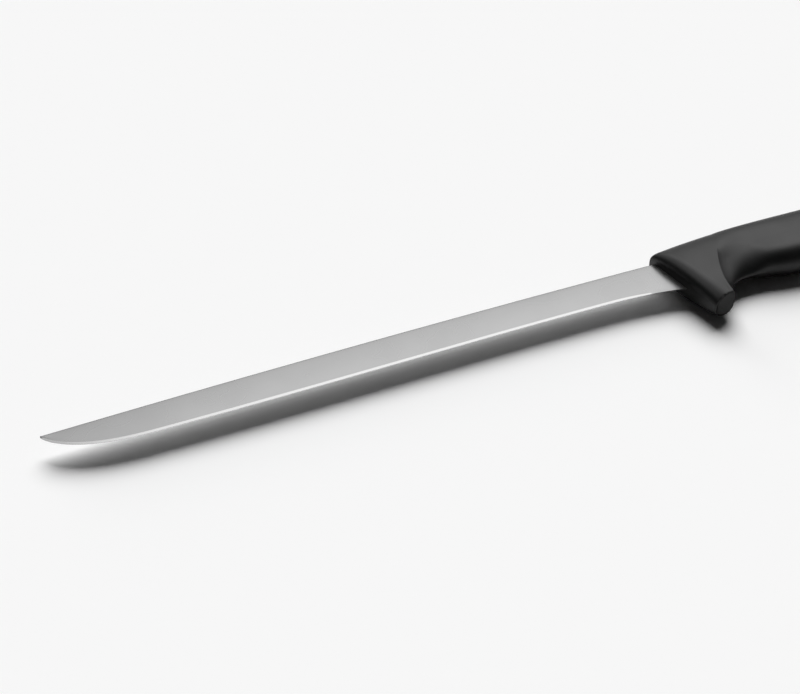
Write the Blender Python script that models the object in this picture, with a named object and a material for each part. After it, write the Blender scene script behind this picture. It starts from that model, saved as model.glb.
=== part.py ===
"""A ham knife lying on its side: a long, thin, flexible blade whose hidden tang is moulded into a plastic
handle with a finger guard.

The knife is drawn in its own frame and then set down. In that frame x runs from the blade's tip to the butt, y
from the cutting edge to the back (y = 0 is just above the blade's back at the handle), and z through the
thickness, with z = 0 in the middle of the blade. An empty carries the pieces so that the lowest face stands on
the ground and the middle of the whole knife is over the origin.
"""

import math

import bmesh
import bpy
from mathutils import Vector

# Blade: sizes in metres
BLADE_LENGTH = 0.2398
BLADE_WIDTH = 0.0150
BACK_AT_HANDLE = -0.00085
BACK_DROP_AT_TIP = 0.00495
TIP_DEPTH = 0.0005
TIP_CURVE_LENGTH = 0.0396
TIP_CURVE_FULLNESS = 2.79
TIP_CURVE_ROUNDNESS = 1.376
EDGE_AT_TIP_CURVE = -0.01835
HEEL_FLARE = 0.0021
HEEL_LENGTH = 0.0270
HEEL_CURVE = 2.2
BACK_THICKNESS = 0.0015
TIP_THICKNESS = 0.0008
SHOULDER_THICKNESS = 0.00045
CUTTING_BEVEL_WIDTH = 0.00125
BEVEL_STOPS_BEFORE_HANDLE = 0.0135
BEVEL_RUN_OUT = 0.0067
EDGE_THICKNESS = 0.00006
HEEL_EDGE_THICKNESS = 0.0009

# Tang: the part of the blade that the handle hides
TANG_LENGTH = 0.1120
TANG_HEIGHT = 0.0115
TANG_BELOW_BACK = 0.0034
TANG_CORNER = 0.0022
TANG_SHOULDER = 0.0085
TANG_SHOULDER_SLOPE = 0.0040
ANCHOR_HOLES = 3
ANCHOR_HOLE_RADIUS = 0.0030
ANCHOR_HOLE_SPACING = 0.0280
FIRST_ANCHOR_HOLE = 0.0340

# Handle: front and guard
FRONT_LEAN = math.radians(13.2)
FRONT_FACE_HALF = 0.0016
FRONT_ROUNDING = 0.0055
FRONT_CORNER_ROUNDING = 0.0004
CHEEK_HALF = 0.0070
GUARD_DEPTH = 0.0331
GUARD_FACE_HALF = 0.0008
GUARD_ROUNDING = 0.0062
GUARD_TIP_HALF = 0.0054
GUARD_TIP_WIDTH = 0.0101
GUARD_TIP_TILT = math.radians(13.9)
GUARD_TAPER_START = 0.0130
CREASE_TO_FRONT = 0.0302
CREASE_TO_GUARD_BACK = 0.0028
CREASE_BOW = 0.0035
NECK_DIP = 0.0009
NECK_FADE = 0.0360

# Handle: finger groove behind the guard
GROOVE_AT = 0.0327
GROOVE_DEPTH = 0.0213
GROOVE_REACH = 0.0100
GROOVE_SLICE_LEAN = 0.0055
GUARD_BACK_LEAN = math.radians(17.5)
GUARD_BACK_REACH = 0.0094

# Handle: grip
HANDLE_LENGTH = 0.1350
GRIP_HALF = 0.0078
GRIP_ROUNDING = 0.0074
BACK_AT_FRONT = 0.00188
BACK_RISE_SLOPE = 0.155
BACK_CREST = 0.00478
BACK_CREST_AT = 0.0600
BACK_AT_BUTT = -0.0010
BACK_SLOPE_AT_BUTT = -0.24
GRIP_SWELL_START = 0.0220
GRIP_SWELL_START_AT = 0.0440
GRIP_SWELL_SLOPE = -0.24
PALM_DEPTH = 0.0239
PALM_AT = 0.0680
WAIST_DEPTH = 0.0212
WAIST_AT = 0.0990
BEAK_DEPTH = 0.0262
BUTT_SETBACK = 0.0045
BUTT_ROUNDING = 0.0050
BUTT_BULGE = 0.0024
BUTT_FACE_HALF = 0.0030

# Core: the first shot of plastic, moulded round the tang before the grip
SKIN = 0.0030
RIM_AT_GUARD_TIP = 0.0006
CORE_STOPS_BEFORE_BUTT = 0.0090
THINNEST_CORE_HALF = 0.0005

# How square the sections are: 2 is an ellipse, more is squarer
CHEEK_SQUARENESS = 2.64
GUARD_SQUARENESS = 9.0
GUARD_BACK_SQUARENESS = 4.6
GUARD_BACK_FADE = 0.625

# Fits, cutters and counts
CLEARANCE = 0.0003
GUARD_OVERRUN = 0.0030
TIP_BLOCK_SIZE = (0.0240, 0.0090, 0.0240)
CUTTER_BAR_LENGTH = 0.0300
TIP_STEPS = 16
RUN_STEPS = 6
HEEL_STEPS = 8
NOSE_STEPS = 6
CHEEK_STEPS = 4
GROOVE_STEPS = 14
GRIP_STEPS = 16
BUTT_STEPS = 5
RING_POINTS = 48
HOLE_SIDES = 24
SHARP_ANGLE = math.radians(25)

# Colours of the materials: linear red, green and blue
STEEL_COLOUR = (0.55, 0.55, 0.55)
GRIP_COLOUR = (0.012, 0.012, 0.013)
CORE_COLOUR = (0.020, 0.020, 0.021)

FRONT_X = BLADE_LENGTH
BUTT_X = FRONT_X + HANDLE_LENGTH


def blend(a, b, t):
    """Straight blend from a to b."""
    return a + (b - a) * t


def ease(t):
    """0 to 1 with level ends."""
    t = min(max(t, 0.0), 1.0)
    return t * t * (3.0 - 2.0 * t)


def bow_shape(q):
    """0 at both ends of a slice and 1 two thirds of the way down, where a bowed slice bends the most."""
    return 27 / 4 * q * q * (1 - q)


def squared_ellipse(across, square):
    """Height of a squared ellipse, 1 high in the middle and 0 at both ends, across from -1 to 1."""
    return max(1 - abs(across) ** square, 0.0) ** (1 / square)


def round_edged_slab(across, round_share):
    """Height of a slab that is flat in the middle and rounds off over round_share of each half."""
    edge = max(abs(across) - (1 - round_share), 0.0) / round_share
    return math.sqrt(max(1 - edge * edge, 0.0))


def hermite(knots, x):
    """Height at x of a smooth line through knots (x, height, slope)."""
    if x <= knots[0][0]:
        return knots[0][1] + knots[0][2] * (x - knots[0][0])
    for (x0, y0, slope0), (x1, y1, slope1) in zip(knots, knots[1:]):
        if x <= x1:
            run = x1 - x0
            t = (x - x0) / run
            start = (1 + 2 * t) * (1 - t) ** 2 * y0 + t * (1 - t) ** 2 * run * slope0
            end = t * t * (3 - 2 * t) * y1 + t * t * (t - 1) * run * slope1
            return start + end
    x1, y1, slope1 = knots[-1]
    return y1 + slope1 * (x - x1)


def clear_scene():
    for obj in list(bpy.data.objects):
        bpy.data.objects.remove(obj, do_unlink=True)


def new_collection(name):
    collection = bpy.data.collections.new(name)
    bpy.context.scene.collection.children.link(collection)
    return collection


def new_material(name, colour, metallic, roughness):
    material = bpy.data.materials.new(name)
    material.use_nodes = True
    shader = material.node_tree.nodes["Principled BSDF"]
    shader.inputs["Base Color"].default_value = (*colour, 1.0)
    shader.inputs["Metallic"].default_value = metallic
    shader.inputs["Roughness"].default_value = roughness
    return material


def object_from(bm, name, collection, material=None):
    """Turns a bmesh into a named object of the collection."""
    bmesh.ops.recalc_face_normals(bm, faces=bm.faces)
    mesh = bpy.data.meshes.new(name)
    bm.to_mesh(mesh)
    bm.free()
    obj = bpy.data.objects.new(name, mesh)
    collection.objects.link(obj)
    if material is not None:
        mesh.materials.append(material)
    return obj


def cutter_from(bm, name, collection):
    obj = object_from(bm, name, collection)
    obj.hide_render = True
    obj.display_type = "WIRE"
    return obj


def loft(rings):
    """A closed body through rings of equal count, with a flat face on the first and the last."""
    bm = bmesh.new()
    rows = [[bm.verts.new(point) for point in ring] for ring in rings]
    count = len(rows[0])
    for row, after in zip(rows, rows[1:]):
        for k in range(count):
            bm.faces.new((row[k], row[(k + 1) % count], after[(k + 1) % count], after[k]))
    bm.faces.new(list(reversed(rows[0])))
    bm.faces.new(rows[-1])
    bmesh.ops.triangulate(bm, faces=bm.faces)
    return bm


def cut(obj, cutter):
    """Cuts the cutter out of the object with an exact Boolean."""
    modifier = obj.modifiers.new(cutter.name, "BOOLEAN")
    modifier.operation = "DIFFERENCE"
    modifier.solver = "EXACT"
    modifier.object = cutter


# Blade


def blade_back(x):
    """The blade's back, a slow curve that is straight where it enters the handle."""
    reach = max(BLADE_LENGTH - x, 0.0) / BLADE_LENGTH
    return BACK_AT_HANDLE - BACK_DROP_AT_TIP * reach * reach


def blade_edge(x):
    """The cutting edge: a rounded tip, a long run that rises slowly and a heel that flares down."""
    straight_end = BLADE_LENGTH - HEEL_LENGTH
    run = (x - TIP_CURVE_LENGTH) / (straight_end - TIP_CURVE_LENGTH)
    edge = blend(EDGE_AT_TIP_CURVE, BACK_AT_HANDLE - BLADE_WIDTH, ease(run))
    if x < TIP_CURVE_LENGTH:
        t = 1.0 - x / TIP_CURVE_LENGTH
        rise = 1.0 - (1.0 - t**TIP_CURVE_FULLNESS) ** (1.0 / TIP_CURVE_ROUNDNESS)
        edge = blend(EDGE_AT_TIP_CURVE, blade_back(0.0) - TIP_DEPTH, rise)
    flare = max(x - straight_end, 0.0) / HEEL_LENGTH
    return edge - HEEL_FLARE * flare**HEEL_CURVE


def mirrored(x, outline):
    """A closed section from its upper half, a list of (y, z) from the back to the edge."""
    upper = [Vector((x, y, z)) for y, z in outline]
    lower = [Vector((x, y, -z)) for y, z in reversed(outline)]
    return upper + lower


def blade_ring(x, grow):
    """Section of the blade at x: back, shoulder of the cutting bevel and edge, on both sides."""
    along = min(x / BLADE_LENGTH, 1.0)
    back = blade_back(x)
    edge = blade_edge(x)
    heel_start = BLADE_LENGTH - BEVEL_STOPS_BEFORE_HANDLE - BEVEL_RUN_OUT
    heel = ease((x - heel_start) / BEVEL_RUN_OUT)
    half_back = blend(TIP_THICKNESS, BACK_THICKNESS, along) / 2
    half_shoulder = min(blend(SHOULDER_THICKNESS, HEEL_EDGE_THICKNESS, heel) / 2, half_back)
    half_edge = min(blend(EDGE_THICKNESS, HEEL_EDGE_THICKNESS, heel) / 2, half_shoulder)
    shoulder = min(edge + CUTTING_BEVEL_WIDTH, (back + edge) / 2)
    return mirrored(
        x,
        [
            (back + grow, half_back + grow),
            (shoulder, half_shoulder + grow),
            (edge - grow, half_edge + grow),
        ],
    )


def tang_ring(x, top, bottom, grow):
    half = BACK_THICKNESS / 2 + grow
    return mirrored(x, [(top + grow, half), ((top + bottom) / 2, half), (bottom - grow, half)])


def blade_places():
    """Where the blade's sections stand, closest together where its outline turns."""
    straight_end = BLADE_LENGTH - HEEL_LENGTH
    tip = [TIP_CURVE_LENGTH * (k / TIP_STEPS) ** 2 for k in range(TIP_STEPS + 1)]
    run = [blend(TIP_CURVE_LENGTH, straight_end, k / RUN_STEPS) for k in range(1, RUN_STEPS + 1)]
    heel = [blend(straight_end, BLADE_LENGTH, k / HEEL_STEPS) for k in range(1, HEEL_STEPS + 1)]
    return tip + run + heel


def tang_rings(grow):
    """The full width of the blade just inside the handle, then the narrower tang to its end."""
    inside = BLADE_LENGTH + TANG_SHOULDER
    neck = inside + TANG_SHOULDER_SLOPE
    end = BLADE_LENGTH + TANG_LENGTH
    top = -TANG_BELOW_BACK
    bottom = top - TANG_HEIGHT
    return [
        blade_ring(inside, grow),
        tang_ring(neck, top, bottom, grow),
        tang_ring(end - TANG_CORNER, top, bottom, grow),
        tang_ring(end + grow, top - TANG_CORNER, bottom + TANG_CORNER, grow),
    ]


def blade_body():
    return loft([blade_ring(x, 0.0) for x in blade_places()] + tang_rings(0.0))


def tang_space_body():
    """What the handle leaves free for the blade, from ahead of its front to past the tang's end."""
    start = BLADE_LENGTH - HEEL_LENGTH / 2
    places = [start] + [x for x in blade_places() if x > start]
    return loft([blade_ring(x, CLEARANCE) for x in places] + tang_rings(CLEARANCE))


def anchor_bars(name, radius, collection):
    """One round bar for each hole in the tang that the plastic flows through."""
    y = -TANG_BELOW_BACK - TANG_HEIGHT / 2
    bars = []
    for k in range(ANCHOR_HOLES):
        x = FRONT_X + FIRST_ANCHOR_HOLE + ANCHOR_HOLE_SPACING * k
        bm = bmesh.new()
        bmesh.ops.create_cone(
            bm,
            cap_ends=True,
            segments=HOLE_SIDES,
            radius1=radius,
            radius2=radius,
            depth=CUTTER_BAR_LENGTH,
        )
        bmesh.ops.translate(bm, verts=bm.verts, vec=(x, y, 0.0))
        bars.append(cutter_from(bm, f"{name}_{k + 1}", collection))
    return bars


# Handle


class Station:
    """One section of the handle: a slice from a point on its back to a point on its belly.

    half is the half thickness, tip_half the half thickness at the guard's tip. Each side of the section is a
    slab with round edges (back_slab and belly_slab 1), a squared ellipse (0), or a blend of both. bow bends
    the slice towards the blade, dip thins its middle, and guard is 1 for a slice that runs down the guard and
    0 for one across the grip. turn is how far the surface has turned from facing forward (0) to facing
    sideways (a right angle).
    """

    def __init__(self, back, belly, half, **more):
        self.back = Vector(back)
        self.belly = Vector(belly)
        self.half = half
        self.belly_square = more.get("belly_square", GUARD_BACK_SQUARENESS)
        self.back_slab = more.get("back_slab", 1.0)
        self.belly_slab = more.get("belly_slab", 1.0)
        self.tip_half = more.get("tip_half", half)
        self.bow = more.get("bow", 0.0)
        self.dip = more.get("dip", 0.0)
        self.guard = more.get("guard", 0.0)
        self.turn = more.get("turn", math.pi / 2)

    def ring(self, skin=0.0, rim=0.0):
        """The section's points, with the outline drawn in by skin, or by rim at the tip of the guard."""
        chord = (self.belly - self.back).normalized()
        back = self.back + chord * skin
        belly = self.belly - chord * blend(skin, rim, self.guard)
        round_share = min(2 * GRIP_ROUNDING / (belly - back).length, 1.0)
        points = []
        for k in range(RING_POINTS):
            angle = 2 * math.pi * k / RING_POINTS
            across = math.cos(angle)
            square = CHEEK_SQUARENESS if across > 0 else self.belly_square
            slab = self.back_slab if across > 0 else self.belly_slab
            height = blend(squared_ellipse(across, square), round_edged_slab(across, round_share), slab)
            q = (1 - across) / 2
            place = back.lerp(belly, q)
            down = max(-place.y - GUARD_TAPER_START, 0.0) / (GUARD_DEPTH - GUARD_TAPER_START)
            inset = blend(skin, rim, self.guard * ease(down))
            half = blend(self.half, self.tip_half, down * down) - self.dip * ease(2 * q)
            half = max(half - inset * math.sin(self.turn), THINNEST_CORE_HALF)
            x = place.x + inset * math.cos(self.turn) - self.bow * bow_shape(q)
            z = half * height * (1 if math.sin(angle) >= 0 else -1)
            points.append(Vector((x, place.y, z)))
        return points


def back_line(x):
    knots = [
        (FRONT_X, BACK_AT_FRONT, BACK_RISE_SLOPE),
        (FRONT_X + BACK_CREST_AT, BACK_CREST, 0.0),
        (BUTT_X, BACK_AT_BUTT, BACK_SLOPE_AT_BUTT),
    ]
    return hermite(knots, x)


def butt_reach():
    """How far the bulged butt reaches beyond the end of its belly."""
    places = [(1 - math.cos(2 * math.pi * k / RING_POINTS)) / 2 for k in range(RING_POINTS)]
    return max(BUTT_BULGE * bow_shape(q) - BUTT_SETBACK * (1 - q) for q in places)


def beak_x():
    """Where the belly ends and the butt starts to round off."""
    return BUTT_X - BUTT_ROUNDING - butt_reach()


def belly_line(x):
    knots = [
        (FRONT_X + GROOVE_AT, -GROOVE_DEPTH, 0.0),
        (FRONT_X + GRIP_SWELL_START_AT, -GRIP_SWELL_START, GRIP_SWELL_SLOPE),
        (FRONT_X + PALM_AT, -PALM_DEPTH, 0.0),
        (FRONT_X + WAIST_AT, -WAIST_DEPTH, 0.0),
        (beak_x(), -BEAK_DEPTH, 0.0),
    ]
    return hermite(knots, x)


def front_point(depth, setback=0.0):
    """A point on the slanted front, depth below the blade's back and setback behind the front face."""
    return Vector((FRONT_X + depth * math.tan(FRONT_LEAN) + setback, -depth))


def guard_tip_along():
    """Direction of the guard's flat tip, from the front face towards the butt."""
    return Vector((math.cos(GUARD_TIP_TILT), math.sin(GUARD_TIP_TILT)))


def guard_tip_corner():
    """Where the front face meets the flat tip of the guard."""
    drop = GUARD_TIP_WIDTH * math.sin(GUARD_TIP_TILT) / 2
    return front_point(GUARD_DEPTH + drop)


def nose_stations():
    """The rounded front, from the narrow face that the blade comes out of to the flat cheeks."""
    stations = []
    for k in range(NOSE_STEPS + 1):
        turn = math.pi / 2 * k / NOSE_STEPS
        back_x = FRONT_X + FRONT_ROUNDING * (1 - math.cos(turn))
        corner = FRONT_CORNER_ROUNDING * (1 - math.sin(turn))
        station = Station(
            (back_x, back_line(back_x) - corner),
            front_point(GUARD_DEPTH + GUARD_OVERRUN, GUARD_ROUNDING * (1 - math.cos(turn))),
            blend(FRONT_FACE_HALF, CHEEK_HALF, math.sin(turn)),
            belly_square=GUARD_SQUARENESS,
            back_slab=0.0,
            belly_slab=0.0,
            tip_half=blend(GUARD_FACE_HALF, GUARD_TIP_HALF, math.sin(turn)),
            guard=1.0,
            turn=turn,
        )
        stations.append(station)
    return stations


def crease_station():
    """The slice along the crease that ends the flat cheek."""
    back_x = FRONT_X + CREASE_TO_FRONT
    edge = guard_tip_corner() + guard_tip_along() * (GUARD_TIP_WIDTH - CREASE_TO_GUARD_BACK)
    belly = edge + Vector((math.tan(FRONT_LEAN), -1)) * GUARD_OVERRUN
    return Station(
        (back_x, back_line(back_x)),
        belly,
        CHEEK_HALF,
        belly_square=GUARD_SQUARENESS,
        belly_slab=0.0,
        tip_half=GUARD_TIP_HALF,
        bow=CREASE_BOW,
        guard=1.0,
    )


def cheek_stations():
    """Slices from the rounded front to the crease."""
    first = nose_stations()[-1]
    last = crease_station()
    stations = []
    for k in range(1, CHEEK_STEPS):
        t = k / CHEEK_STEPS
        back_x = blend(first.back.x, last.back.x, t)
        station = Station(
            (back_x, back_line(back_x)),
            first.belly.lerp(last.belly, t),
            CHEEK_HALF,
            belly_square=GUARD_SQUARENESS,
            back_slab=t,
            belly_slab=0.0,
            tip_half=GUARD_TIP_HALF,
            bow=last.bow * t,
            guard=1.0,
        )
        stations.append(station)
    stations.append(last)
    return stations


def groove_path(t):
    """The middle of the belly, from below the guard's tip, up its back and round into the finger groove."""
    guard_back = Vector((math.sin(GUARD_BACK_LEAN), math.cos(GUARD_BACK_LEAN)))
    start = guard_tip_corner() + guard_tip_along() * GUARD_TIP_WIDTH - guard_back * GUARD_OVERRUN
    leave_guard = start + guard_back * GUARD_BACK_REACH
    groove = Vector((FRONT_X + GROOVE_AT, -GROOVE_DEPTH))
    reach_groove = groove - Vector((GROOVE_REACH, 0.0))
    s = 1 - t
    return s**3 * start + 3 * s * s * t * leave_guard + 3 * s * t * t * reach_groove + t**3 * groove


def groove_stations():
    """Slices that swing from the crease to square across the grip, along the finger groove."""
    crease = crease_station()
    last_back_x = FRONT_X + GROOVE_AT + GROOVE_SLICE_LEAN
    stations = []
    for k in range(1, GROOVE_STEPS + 1):
        t = k / GROOVE_STEPS
        back_x = blend(crease.back.x, last_back_x, t)
        half = blend(CHEEK_HALF, GRIP_HALF, ease(t))
        station = Station(
            (back_x, back_line(back_x)),
            groove_path(t),
            half,
            belly_slab=ease(t / GUARD_BACK_FADE),
            tip_half=blend(half, GUARD_TIP_HALF, (1 - t) ** 2),
            bow=CREASE_BOW * (1 - ease(t)),
            dip=NECK_DIP * math.sin(math.pi / 2 * t),
            guard=(1 - t) ** 2,
        )
        stations.append(station)
    return stations


def grip_stations():
    """Slices across the grip, from the groove to where the butt starts to round off."""
    first = groove_stations()[-1]
    last_belly_x = beak_x()
    last_back_x = last_belly_x - BUTT_SETBACK
    stations = []
    for k in range(1, GRIP_STEPS + 1):
        t = k / GRIP_STEPS
        back_x = blend(first.back.x, last_back_x, t)
        belly_x = blend(first.belly.x, last_belly_x, t)
        back = (back_x, back_line(back_x))
        belly = (belly_x, belly_line(belly_x))
        dip = NECK_DIP * (1 - ease((belly_x - first.belly.x) / NECK_FADE))
        stations.append(Station(back, belly, GRIP_HALF, dip=dip))
    return stations


def butt_stations():
    """The rounded butt, closed by a small face."""
    last = grip_stations()[-1]
    stations = []
    for k in range(1, BUTT_STEPS + 1):
        turn = math.pi / 2 * k / BUTT_STEPS
        ahead = BUTT_ROUNDING * math.sin(turn)
        inset = BUTT_ROUNDING * (1 - math.cos(turn))
        station = Station(
            last.back + Vector((ahead, -inset)),
            last.belly + Vector((ahead, inset)),
            blend(BUTT_FACE_HALF, GRIP_HALF, math.cos(turn)),
            bow=-BUTT_BULGE * math.sin(turn),
        )
        stations.append(station)
    return stations


def handle_stations():
    return nose_stations() + cheek_stations() + groove_stations() + grip_stations() + butt_stations()


def handle_body():
    """The whole outer shape of the handle, before its hollows are cut."""
    return loft([station.ring() for station in handle_stations()])


def core_body(grow):
    """The core, or, grown by a clearance, the space that the grip leaves for it."""
    stations = nose_stations()[1:] + cheek_stations() + groove_stations() + grip_stations()
    inner = [station for station in stations if station.back.x < BUTT_X - CORE_STOPS_BEFORE_BUTT]
    rings = [station.ring(SKIN - grow, RIM_AT_GUARD_TIP - grow) for station in inner]
    end_gap = Vector((grow, 0.0, 0.0))
    rings[0] = [point - end_gap for point in rings[0]]
    rings[-1] = [point + end_gap for point in rings[-1]]
    return loft(rings)


def guard_tip_block(collection):
    """A block whose upper face slices off the end of the guard, leaving its flat oval tip."""
    bm = bmesh.new()
    bmesh.ops.create_cube(bm, size=1.0)
    bmesh.ops.scale(bm, verts=bm.verts, vec=TIP_BLOCK_SIZE)
    block = cutter_from(bm, "guard_tip_block", collection)
    along = guard_tip_along()
    outward = Vector((along.y, -along.x))
    place = guard_tip_corner() + along * GUARD_TIP_WIDTH / 2 + outward * TIP_BLOCK_SIZE[1] / 2
    block.location = (place.x, place.y, 0.0)
    block.rotation_euler.z = GUARD_TIP_TILT
    return block


def make_blade(parts, cutters):
    steel = new_material("satin_stainless_steel", STEEL_COLOUR, 1.0, 0.35)
    blade = object_from(blade_body(), "blade", parts, steel)
    for hole in anchor_bars("anchor_hole", ANCHOR_HOLE_RADIUS, cutters):
        cut(blade, hole)
    return blade


def make_handle(parts, cutters):
    """The core round the tang and the grip round the core, both cut free of the blade."""
    tang_space = cutter_from(tang_space_body(), "tang_space", cutters)
    for peg in anchor_bars("anchor_peg", ANCHOR_HOLE_RADIUS - CLEARANCE, cutters):
        cut(tang_space, peg)
    tip_block = guard_tip_block(cutters)
    core_space = cutter_from(core_body(CLEARANCE), "core_space", cutters)

    core_plastic = new_material("black_core_polypropylene", CORE_COLOUR, 0.0, 0.5)
    core = object_from(core_body(0.0), "handle_core", parts, core_plastic)
    for cutter in (tip_block, tang_space):
        cut(core, cutter)

    grip_plastic = new_material("black_polypropylene", GRIP_COLOUR, 0.0, 0.42)
    grip = object_from(handle_body(), "handle_grip", parts, grip_plastic)
    for cutter in (tip_block, core_space, tang_space):
        cut(grip, cutter)
    return core, grip


def set_down(parts, cutters):
    """Parents every object to one empty, which stands the knife on the ground over the origin."""
    knife = bpy.data.objects.new("knife", None)
    lowest_y = guard_tip_corner().y
    knife.location = (-BUTT_X / 2, -(BACK_CREST + lowest_y) / 2, GRIP_HALF)
    for obj in list(parts.objects) + list(cutters.objects):
        obj.parent = knife
    parts.objects.link(knife)


def main():
    clear_scene()
    parts = new_collection("ham_knife")
    cutters = new_collection("cutters")
    blade = make_blade(parts, cutters)
    core, grip = make_handle(parts, cutters)
    for obj in (blade, core, grip):
        obj.data.shade_smooth()
        obj.data.set_sharp_from_angle(angle=SHARP_ANGLE)
    set_down(parts, cutters)


main()
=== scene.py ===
# %% [markdown]
# A ham knife on a pale table.
#
# The knife is a long, thin strip of stainless steel that ends in a black plastic handle with a finger
# guard. It lies on its side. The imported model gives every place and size, and this lesson dresses it: a
# finer blade with a ground bevel, a smooth moulded handle, a soft studio light and a camera.

import math

import bmesh
import bpy
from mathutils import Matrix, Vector


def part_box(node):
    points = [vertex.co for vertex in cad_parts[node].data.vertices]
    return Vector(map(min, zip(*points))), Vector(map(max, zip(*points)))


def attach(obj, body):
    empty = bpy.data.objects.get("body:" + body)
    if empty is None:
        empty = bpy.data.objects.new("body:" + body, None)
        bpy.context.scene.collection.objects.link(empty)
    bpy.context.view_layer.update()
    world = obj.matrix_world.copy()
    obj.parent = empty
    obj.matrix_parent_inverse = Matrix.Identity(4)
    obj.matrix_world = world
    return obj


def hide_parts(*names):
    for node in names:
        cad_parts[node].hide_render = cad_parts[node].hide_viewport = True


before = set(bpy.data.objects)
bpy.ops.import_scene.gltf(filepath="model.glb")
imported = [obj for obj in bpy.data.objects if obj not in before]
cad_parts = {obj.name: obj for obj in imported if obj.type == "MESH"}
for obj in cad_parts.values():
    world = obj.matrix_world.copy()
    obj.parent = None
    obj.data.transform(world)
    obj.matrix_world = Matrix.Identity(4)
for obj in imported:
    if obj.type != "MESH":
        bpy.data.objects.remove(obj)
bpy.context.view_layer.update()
scene = bpy.context.scene
print("nodes in the frame:", sorted(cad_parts))

# %% [markdown]
# All measures below are in millimetres in the knife's own frame, as a maker would draw it: x from the tip
# of the blade to the butt, y from the cutting edge up to the back, and z through the thickness. The blade
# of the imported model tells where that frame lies, so nothing here is placed by eye.

# %% The knife's own frame
MM = 0.001
BACK_AT_HANDLE = -0.85

blade_low, blade_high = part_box("blade")
middle_z = (blade_low.z + blade_high.z) / 2
ORIGIN = Vector((blade_low.x, blade_high.y - BACK_AT_HANDLE * MM, middle_z))


def at(x, y, z):
    """A point of the knife's own frame, given in millimetres, in the frame of the scene."""
    return ORIGIN + Vector((x, y, z)) * MM


def blend(a, b, t):
    """Straight blend from a to b."""
    return a + (b - a) * t


def ease(t):
    """0 to 1 with level ends."""
    t = min(max(t, 0.0), 1.0)
    return t * t * (3 - 2 * t)


print("the tip of the blade is at", [round(v, 4) for v in at(0, 0, 0)])

# %% [markdown]
# The camera stands in front of the knife on the side of its edge, turned a little towards the handle and
# looking down by almost 39 degrees. A longish lens keeps the long blade from looking stretched. The
# handle runs out of the picture on the right.

# %% Camera
LENS = 65.16
SENSOR_WIDTH = 36.0
NEAREST_SEEN = 0.01
CAMERA_PLACE = (-30.3, -385.2, 327.8)
CAMERA_DOWN = math.radians(38.69)
CAMERA_TURN = math.radians(23.095)

camera_data = bpy.data.cameras.new("camera")
camera_data.lens = LENS
camera_data.sensor_width = SENSOR_WIDTH
camera_data.clip_start = NEAREST_SEEN
camera = bpy.data.objects.new("camera", camera_data)
camera.location = at(*CAMERA_PLACE)
camera.rotation_euler = (math.pi / 2 - CAMERA_DOWN, 0.0, -CAMERA_TURN)
scene.collection.objects.link(camera)
scene.camera = camera
print("camera at", [round(v, 3) for v in camera.location])

# %% [markdown]
# Three helpers make every piece. The first bends a grid with one column for each place round a section
# and one row for each section into a tube: each of its points is moved to where the section says, and the
# seam is merged. The second closes the tube's ends. The third turns the result into a smooth piece that
# rides on the knife.

# %% Skin through a row of sections
MERGE_DISTANCE = 1e-7


def skin(sections):
    """A bmesh tube through sections, lists of points with the same count, open at both ends."""
    bm = bmesh.new()
    around = len(sections[0])
    along = len(sections) - 1
    bmesh.ops.create_grid(bm, x_segments=around, y_segments=along, size=0.5)
    for vert in bm.verts:
        column = round((vert.co.x + 0.5) * around) % around
        row = round((vert.co.y + 0.5) * along)
        vert.co = sections[row][column]
    bmesh.ops.remove_doubles(bm, verts=bm.verts, dist=MERGE_DISTANCE)
    return bm


def close_ends(bm):
    """Closes every open end with one face."""
    rim = [edge for edge in bm.edges if edge.is_boundary]
    bmesh.ops.holes_fill(bm, edges=rim, sides=0)
    bmesh.ops.recalc_face_normals(bm, faces=bm.faces)


def piece_from(bm, name, material, sharp_angle):
    """Turns a finished bmesh into a smooth shaded piece that rides on the knife."""
    mesh = bpy.data.meshes.new(name)
    bm.to_mesh(mesh)
    bm.free()
    mesh.materials.append(material)
    mesh.shade_smooth()
    mesh.set_sharp_from_angle(angle=sharp_angle)
    piece = bpy.data.objects.new(name, mesh)
    scene.collection.objects.link(piece)
    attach(piece, "root")
    print(name, "has", len(mesh.polygons), "faces")
    return piece


print("points of a skin are merged when they are closer than", MERGE_DISTANCE, "m")

# %% [markdown]
# Materials are built from nodes. One helper adds a node, sets its values and joins its inputs, and one
# turns the usual hex colours into the linear ones that the shader needs.

# %% Node helpers
NOISE_LOW = 0.3
NOISE_HIGH = 0.7


def linear(hex_colour):
    """Linear red, green, blue and alpha of an sRGB hex colour."""
    channels = [int(hex_colour[k : k + 2], 16) / 255 for k in (1, 3, 5)]
    return [c / 12.92 if c <= 0.04045 else ((c + 0.055) / 1.055) ** 2.4 for c in channels] + [1.0]


def add_node(tree, kind, settings=None, **inputs):
    """Adds a node. settings are its properties; an input is a value or another node's output."""
    node = tree.nodes.new(kind)
    for key, value in (settings or {}).items():
        setattr(node, key, value)
    for key, value in inputs.items():
        name = int(key[1:]) if key[0] == "_" else key.replace("_", " ")
        if isinstance(value, bpy.types.NodeSocket):
            tree.links.new(value, node.inputs[name])
        else:
            node.inputs[name].default_value = value
    return node


def new_material(name):
    """A material with an empty Principled BSDF; returns the material, its tree and the shader."""
    material = bpy.data.materials.new(name)
    material.use_nodes = True
    tree = material.node_tree
    return material, tree, tree.nodes["Principled BSDF"]


print("mid grey #808080 is", round(linear("#808080")[0], 3), "in linear light")
print("a noise lies mostly between", NOISE_LOW, "and", NOISE_HIGH)
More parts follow.
